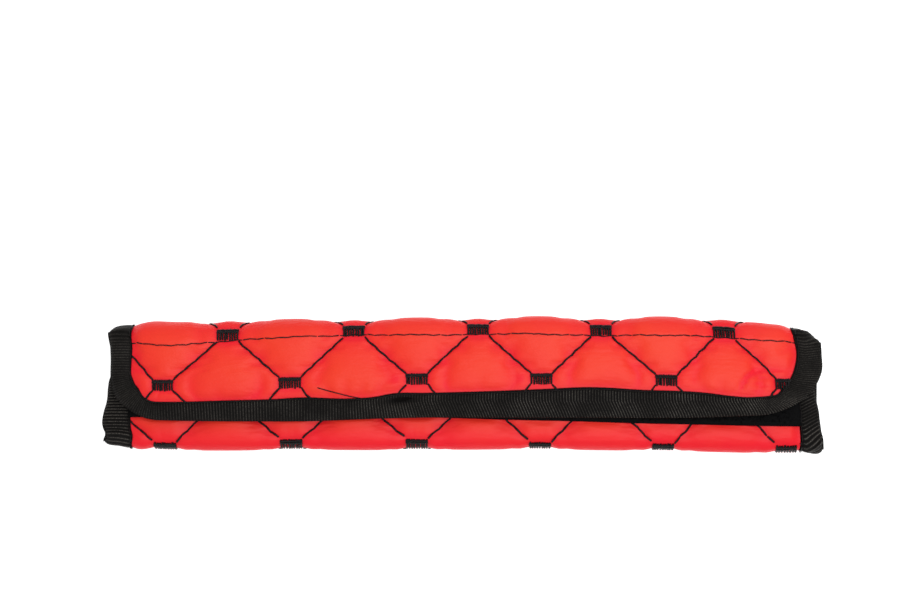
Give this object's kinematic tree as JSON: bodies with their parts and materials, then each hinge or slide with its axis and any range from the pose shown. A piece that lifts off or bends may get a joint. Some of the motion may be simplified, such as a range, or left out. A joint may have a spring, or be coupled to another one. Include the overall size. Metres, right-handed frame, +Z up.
{
  "type": "seat belt shoulder pad",
  "caption": "Quilted leather-look pad with a bound edge, closed with hook-and-loop into a flat sleeve that slides on a car seat belt and cushions the shoulder",
  "frame": {"origin": "middle of the footprint, on the surface the pad lies on", "axes": "+X along the belt, +Z up out of the flap, -Y towards the flap's free edge; the pad lies on its back"},
  "size_m": [0.3002, 0.0552, 0.0172],
  "materials": {
    "cover_leather": "red imitation leather with a fine pebble grain and a soft satin gloss",
    "foam": "open-cell foam sheet, off-white, unseen",
    "lining_cloth": "black knitted lining cloth",
    "binding_tape": "black ribbed polyester tape",
    "hook_tape": "black hook tape, stiff bristle",
    "loop_tape": "black loop tape, brushed pile",
    "thread": "black polyester sewing thread with a slight sheen"
  },
  "bodies": {
    "root": {"bar_tack_1_1": "thread", "bar_tack_1_11": "thread", "bar_tack_1_3": "thread", "bar_tack_1_5": "thread", "bar_tack_1_7": "thread", "bar_tack_1_9": "thread", "bar_tack_2_10": "thread", "bar_tack_2_2": "thread", "bar_tack_2_4": "thread", "bar_tack_2_6": "thread", "bar_tack_2_8": "thread", "bar_tack_3_1": "thread", "bar_tack_3_11": "thread", "bar_tack_3_3": "thread", "bar_tack_3_5": "thread", "bar_tack_3_7": "thread", "bar_tack_3_9": "thread", "bar_tack_4_10": "thread", "bar_tack_4_2": "thread", "bar_tack_4_4": "thread", "bar_tack_4_6": "thread", "bar_tack_4_8": "thread", "bar_tack_5_1": "thread", "bar_tack_5_11": "thread", "bar_tack_5_3": "thread", "bar_tack_5_5": "thread", "bar_tack_5_7": "thread", "bar_tack_5_9": "thread", "bar_tack_6_10": "thread", "bar_tack_6_2": "thread", "bar_tack_6_4": "thread", "bar_tack_6_6": "thread", "bar_tack_6_8": "thread", "edge_binding": "binding_tape", "foam_pad": "foam", "hook_strip": "hook_tape", "lining": "lining_cloth", "loop_strip": "loop_tape", "quilted_cover": "cover_leather"}
  },
  "joints": []
}
